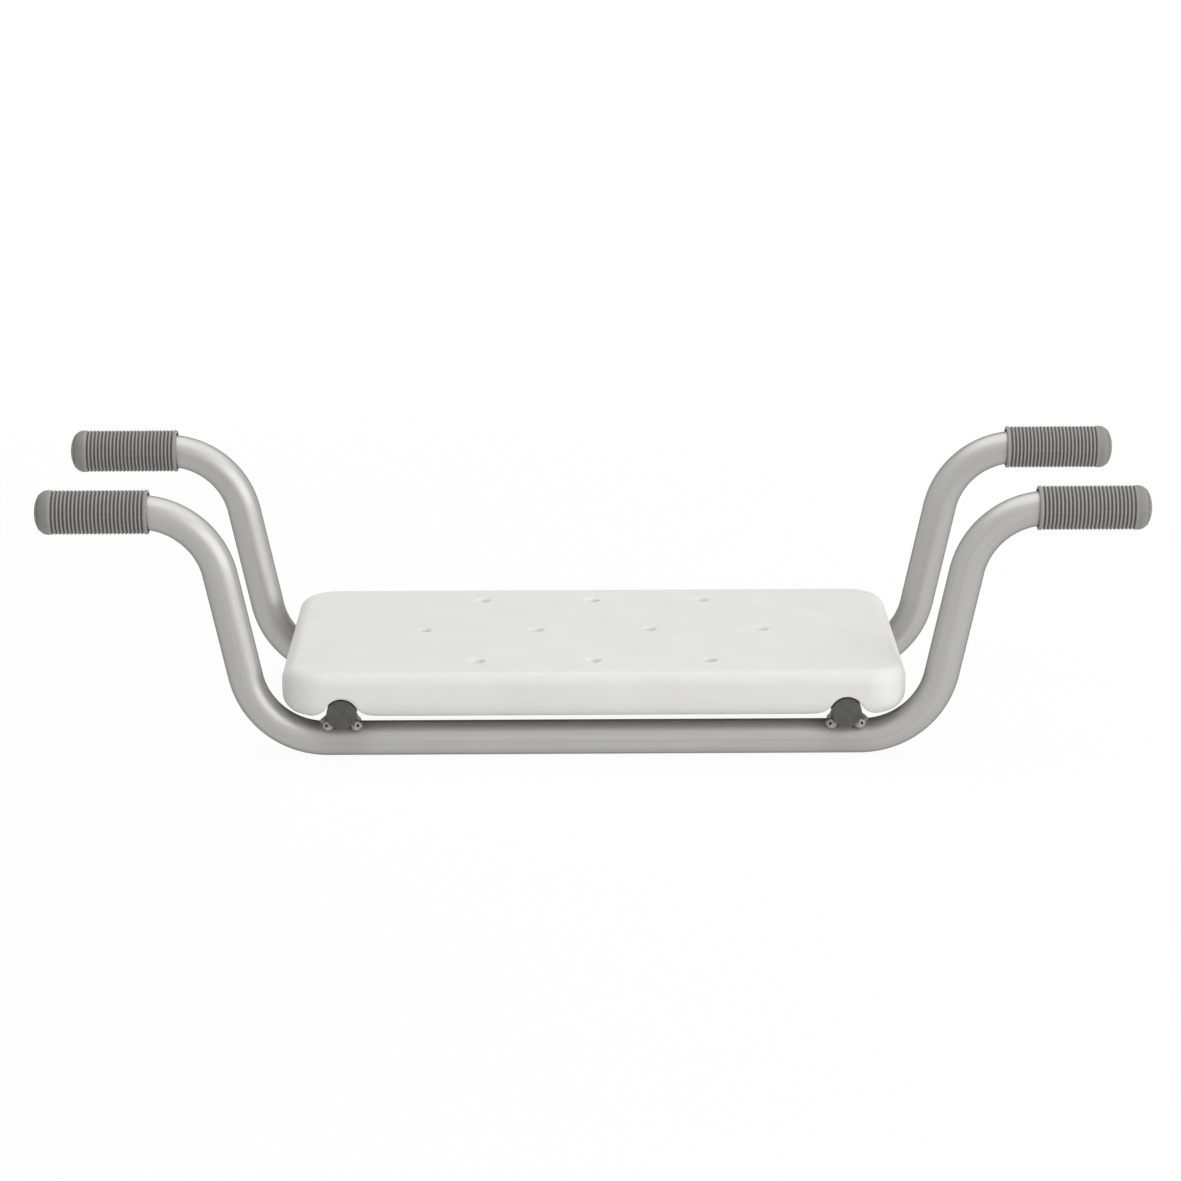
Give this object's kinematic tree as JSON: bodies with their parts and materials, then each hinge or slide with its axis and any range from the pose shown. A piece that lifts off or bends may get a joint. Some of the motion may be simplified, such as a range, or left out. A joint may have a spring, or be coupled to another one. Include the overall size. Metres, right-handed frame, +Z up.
{
  "type": "bath bench",
  "caption": "Bath bench: a hollow moulded seat with drain holes on bent tube rails, whose ribbed hand grips rest on a bath's rims.",
  "frame": {"origin": "middle of the lowest line of the rails, on the plane that the bench stands on", "axes": "+X along the bench's width, towards the right as its front is seen; +Y towards the rear; +Z up"},
  "size_m": [0.706, 0.212, 0.1752],
  "materials": {
    "tube": "satin silver, drawn and anodised",
    "weld": "weld bead, satin",
    "grip": "matte mid grey",
    "cap": "matte dark grey",
    "seat": "off-white, fine moulded texture",
    "screw": "bright zinc",
    "washer": "black nylon",
    "insert": "turned"
  },
  "bodies": {
    "root": {"front_rail": "tube", "rear_rail": "tube", "left_cross_tube": "tube", "right_cross_tube": "tube", "front_left_outer_weld": "weld", "front_left_inner_weld": "weld", "rear_left_outer_weld": "weld", "rear_left_inner_weld": "weld", "front_right_outer_weld": "weld", "front_right_inner_weld": "weld", "rear_right_outer_weld": "weld", "rear_right_inner_weld": "weld", "front_left_grip": "grip", "rear_left_grip": "grip", "front_right_grip": "grip", "rear_right_grip": "grip", "front_left_cap": "cap", "rear_left_cap": "cap", "front_right_cap": "cap", "rear_right_cap": "cap", "seat": "seat", "front_left_seat_screw": "screw", "rear_left_seat_screw": "screw", "front_right_seat_screw": "screw", "rear_right_seat_screw": "screw", "front_left_saddle_washer": "washer", "rear_left_saddle_washer": "washer", "front_right_saddle_washer": "washer", "rear_right_saddle_washer": "washer", "front_left_insert": "insert", "rear_left_insert": "insert", "front_right_insert": "insert", "rear_right_insert": "insert"}
  },
  "joints": []
}
